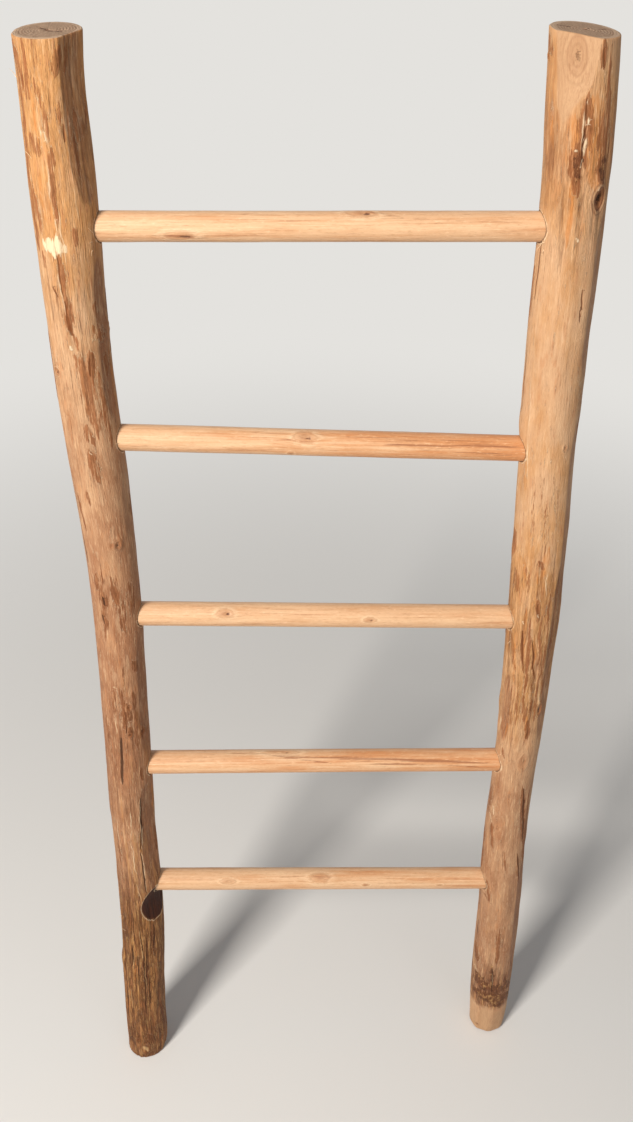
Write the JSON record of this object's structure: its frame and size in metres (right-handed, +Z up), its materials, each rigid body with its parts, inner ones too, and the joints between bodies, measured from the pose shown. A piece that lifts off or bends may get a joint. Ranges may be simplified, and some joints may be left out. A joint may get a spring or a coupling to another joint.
{
  "type": "blanket ladder",
  "caption": "Rustic blanket ladder of peeled round poles and rungs that leans on a wall and holds throws or towels over its rungs.",
  "frame": {"origin": "on the floor, in the middle of the ladder's outline seen from above, as it stands leaning on the wall", "axes": "+Z up; +Y level, from a person facing the ladder to the wall it leans on; +X level along the wall, to that person's right"},
  "size_m": [0.6212, 0.2083, 1.4981],
  "materials": {
    "pole_wood": "satin",
    "rung_wood": "satin",
    "nail_steel": "satin"
  },
  "bodies": {
    "root": {"left_stile": "pole_wood", "right_stile": "pole_wood", "bottom_rung": "rung_wood", "lower_rung": "rung_wood", "middle_rung": "rung_wood", "upper_rung": "rung_wood", "top_rung": "rung_wood", "left_rung_nails": "nail_steel", "right_rung_nails": "nail_steel"}
  },
  "joints": []
}
